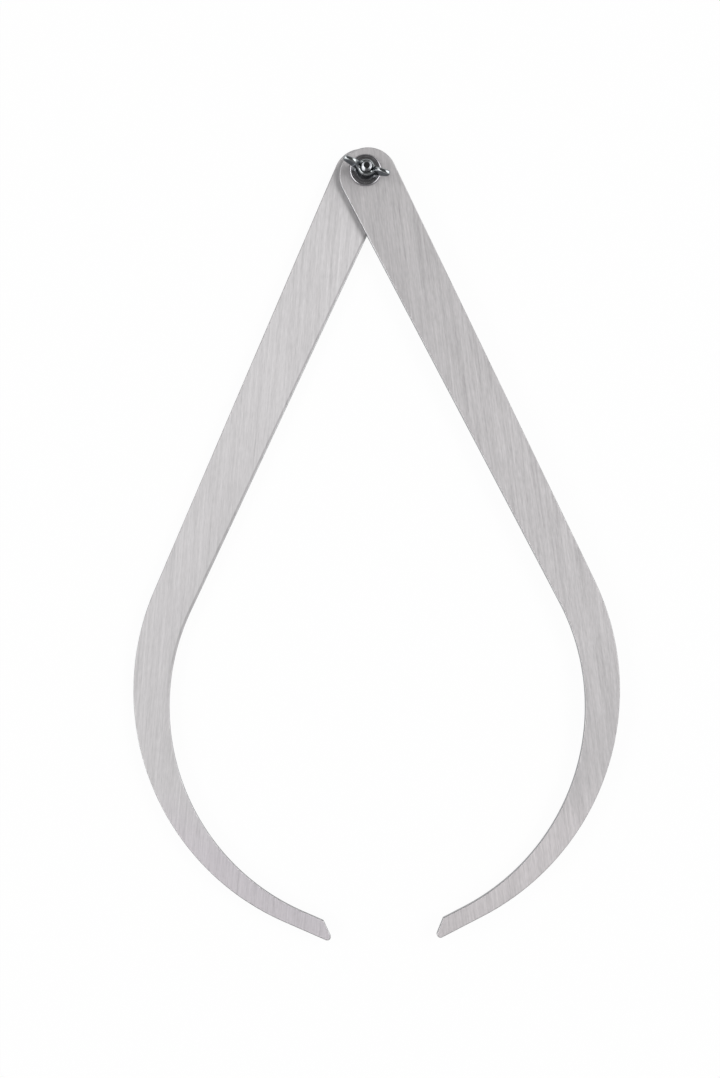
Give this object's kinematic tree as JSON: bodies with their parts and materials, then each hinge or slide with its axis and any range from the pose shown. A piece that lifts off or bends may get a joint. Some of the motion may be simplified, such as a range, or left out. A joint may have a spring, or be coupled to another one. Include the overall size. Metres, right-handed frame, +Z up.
{
  "type": "measuring caliper",
  "caption": "Outside measuring caliper with bowed flat aluminium arms that turn on a pivot screw and are clamped by a wing nut.",
  "frame": {"origin": "on the pivot axis, at the flat face of the screw's head that the caliper lies on", "axes": "+Z up along the pivot axis, from the screw's head to the wing nut; the measuring tips point to -Y; the lower arm opens to -X and the upper arm to +X"},
  "size_m": [0.1906, 0.3104, 0.0183],
  "materials": {
    "lower_arm_sheet": "satin, fine lengthwise brushing",
    "upper_arm_sheet": "satin, fine lengthwise brushing",
    "screw_steel": "plated, slightly dull",
    "washer_plating": "dark bright plating with faint turned rings",
    "nut_plating": "bright plating"
  },
  "bodies": {
    "lower_arm": {"lower_arm": "lower_arm_sheet", "pivot_screw": "screw_steel"},
    "upper_arm": {"upper_arm": "upper_arm_sheet"},
    "washer": {"washer": "washer_plating"},
    "wing_nut": {"wing_nut": "nut_plating"}
  },
  "joints": [
    {"name": "arm_pivot", "type": "hinge", "parent": "lower_arm", "child": "upper_arm", "pos_m": [0, 0, 0.0053], "axis": [0, 0, 1], "continuous": true},
    {"name": "washer_lift", "type": "slide", "parent": "lower_arm", "child": "washer", "axis": [0, 0, 1], "range_m": [0, 0.007]},
    {"name": "nut_turn", "type": "hinge", "parent": "washer", "child": "wing_nut", "pos_m": [0, 0, 0.0088], "axis": [0, 0, 1], "range_deg": [0, 3600]}
  ],
  "couplings": [
    {"joint": "nut_turn", "follows": "washer_lift", "rad_per_m": 8976}
  ]
}
